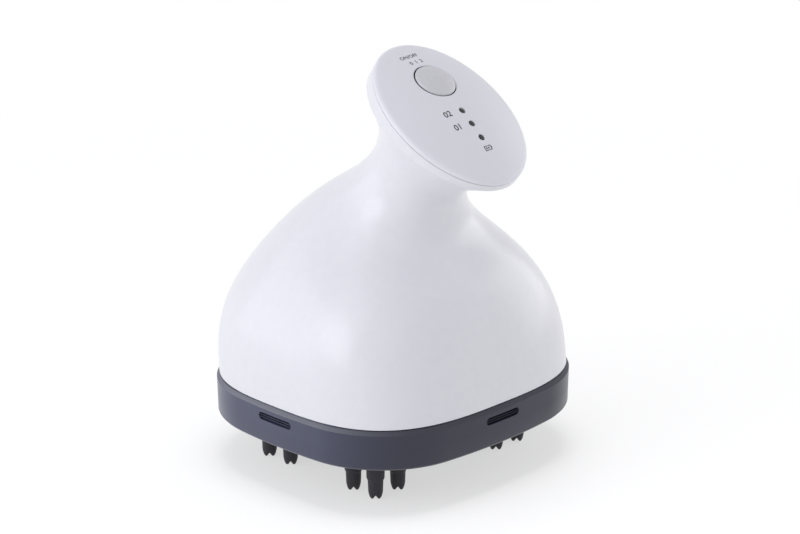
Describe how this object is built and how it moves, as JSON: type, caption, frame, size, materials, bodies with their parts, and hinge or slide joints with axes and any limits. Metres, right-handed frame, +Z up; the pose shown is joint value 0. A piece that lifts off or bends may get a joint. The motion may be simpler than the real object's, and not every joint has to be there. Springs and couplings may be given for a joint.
{
  "type": "electric scalp massager",
  "caption": "Rechargeable scalp massager: leaning white housing on a dark base ring, domed control panel with a push button, geared rotating claws with soft prongs underneath.",
  "frame": {"origin": "centre of the bounding box, on the plane of the prong tips", "axes": "+Z up along the head shafts; -Y is the front, which the head leans to and the panel faces; +X is the user's right when facing the panel"},
  "size_m": [0.092, 0.0866, 0.1186],
  "materials": {
    "white_shell": "glossy satin",
    "panel_grey": "satin",
    "button_grey": "satin",
    "ring_blue_grey": "satin",
    "black_plastic": "matte",
    "dark_lens": "gloss",
    "claw_silicone": "matte",
    "seal_silicone": "matte",
    "gear_white": "satin",
    "gear_blue": "satin",
    "steel": "bright",
    "brass": "satin",
    "board_green": "satin",
    "cell_sleeve": "satin sleeve",
    "magnet": "matte",
    "lead_red": "matte",
    "led_white": "gloss"
  },
  "bodies": {
    "housing": {"housing_shell": "white_shell", "control_panel": "panel_grey", "panel_gasket": "seal_silicone", "lens_high": "dark_lens", "lens_low": "dark_lens", "lens_charge": "dark_lens", "control_board": "board_green", "tact_switch": "black_plastic", "indicator_leds": "led_white", "board_screws": "steel", "base_ring": "ring_blue_grey", "chassis": "black_plastic", "housing_gasket": "seal_silicone", "housing_screws": "steel", "bottom_cover": "ring_blue_grey", "cover_screws": "steel", "head_bushes": "brass", "shaft_seals": "seal_silicone", "sun_axle": "steel", "axle_b": "steel", "axle_a": "steel", "gear_plate": "black_plastic", "plate_screws": "steel", "motor_can": "steel", "motor_magnets": "magnet", "motor_end_cap": "black_plastic", "motor_screws": "steel", "battery_cradle": "black_plastic", "battery_cell": "cell_sleeve", "charge_board": "board_green", "charge_socket": "black_plastic", "motor_lead": "lead_red", "battery_lead": "lead_red", "charge_lead": "lead_red"},
    "button": {"power_button": "button_grey", "button_pad": "seal_silicone"},
    "rotor": {"motor_rotor": "steel", "pinion": "brass"},
    "idler_a": {"idler_a": "gear_white"},
    "idler_b": {"idler_b": "gear_white"},
    "sun": {"sun_gear": "gear_blue"},
    "head_1": {"claw_1": "claw_silicone", "hub_1": "black_plastic", "head_gear_1": "gear_white", "head_screw_1": "steel"},
    "head_2": {"claw_2": "claw_silicone", "hub_2": "black_plastic", "head_gear_2": "gear_white", "head_screw_2": "steel"},
    "head_3": {"claw_3": "claw_silicone", "hub_3": "black_plastic", "head_gear_3": "gear_white", "head_screw_3": "steel"},
    "head_4": {"claw_4": "claw_silicone", "hub_4": "black_plastic", "head_gear_4": "gear_white", "head_screw_4": "steel"},
    "plug": {"port_plug": "seal_silicone"}
  },
  "joints": [
    {"name": "sun_spin", "type": "hinge", "parent": "housing", "child": "sun", "pos_m": [0, 0.00038, 0.025], "axis": [0, 0, 1], "continuous": true},
    {"name": "idler_b_spin", "type": "hinge", "parent": "housing", "child": "idler_b", "pos_m": [0.01875, 0.00038, 0.029], "axis": [0, 0, 1], "continuous": true},
    {"name": "idler_a_spin", "type": "hinge", "parent": "housing", "child": "idler_a", "pos_m": [0.0125, 0.01003, 0.032], "axis": [0, 0, 1], "continuous": true},
    {"name": "rotor_spin", "type": "hinge", "parent": "housing", "child": "rotor", "pos_m": [0.0027, 0.01203, 0.045], "axis": [0, 0, 1], "continuous": true},
    {"name": "head_1_spin", "type": "hinge", "parent": "housing", "child": "head_1", "pos_m": [-0.024, -0.01656, 0.02], "axis": [0, 0, 1], "continuous": true},
    {"name": "head_2_spin", "type": "hinge", "parent": "housing", "child": "head_2", "pos_m": [0.024, -0.01656, 0.02], "axis": [0, 0, 1], "continuous": true},
    {"name": "head_3_spin", "type": "hinge", "parent": "housing", "child": "head_3", "pos_m": [-0.024, 0.01732, 0.02], "axis": [0, 0, 1], "continuous": true},
    {"name": "head_4_spin", "type": "hinge", "parent": "housing", "child": "head_4", "pos_m": [0.024, 0.01732, 0.02], "axis": [0, 0, 1], "continuous": true},
    {"name": "button_press", "type": "slide", "parent": "housing", "child": "button", "axis": [0, 0.4778, -0.8785], "range_m": [0, 0.0007], "stiffness_N_per_m": 900},
    {"name": "port_plug_pull", "type": "slide", "parent": "housing", "child": "plug", "axis": [0, 1, 0], "range_m": [0, 0.008]}
  ],
  "couplings": [
    {"joint": "idler_b_spin", "follows": "sun_spin", "ratio": -4},
    {"joint": "idler_a_spin", "follows": "sun_spin", "ratio": 14.4},
    {"joint": "rotor_spin", "follows": "sun_spin", "ratio": -43.2},
    {"joint": "head_1_spin", "follows": "sun_spin", "ratio": -1.1364},
    {"joint": "head_2_spin", "follows": "sun_spin", "ratio": -1.1364},
    {"joint": "head_3_spin", "follows": "sun_spin", "ratio": -1.1364},
    {"joint": "head_4_spin", "follows": "sun_spin", "ratio": -1.1364}
  ]
}
